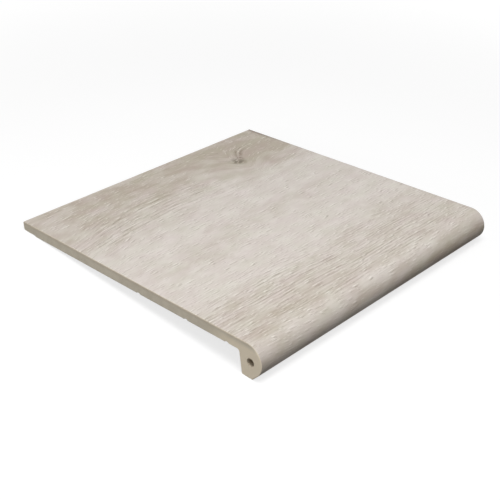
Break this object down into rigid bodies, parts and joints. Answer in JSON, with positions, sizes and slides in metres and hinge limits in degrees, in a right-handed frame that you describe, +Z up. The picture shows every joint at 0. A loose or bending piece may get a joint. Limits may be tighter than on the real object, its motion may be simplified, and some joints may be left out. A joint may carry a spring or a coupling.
{
  "type": "stair tread tile",
  "caption": "Flat glazed stoneware stair tread with a pale wood-grain face, a rounded nosing and a lip that hangs down over the riser, cored along the nosing.",
  "frame": {"origin": "middle of the tile's box, at the level of the lip's underside", "axes": "+X along the nosing, -Y to the front over the nosing, +Y to the back edge, +Z up out of the walking face"},
  "size_m": [0.33, 0.338, 0.035],
  "materials": {
    "glazed_stoneware": "satin wood-grain glaze over a beige stoneware body, bare on the ends, back and underside"
  },
  "bodies": {
    "root": {"stair_tread_tile": "glazed_stoneware"}
  },
  "joints": []
}
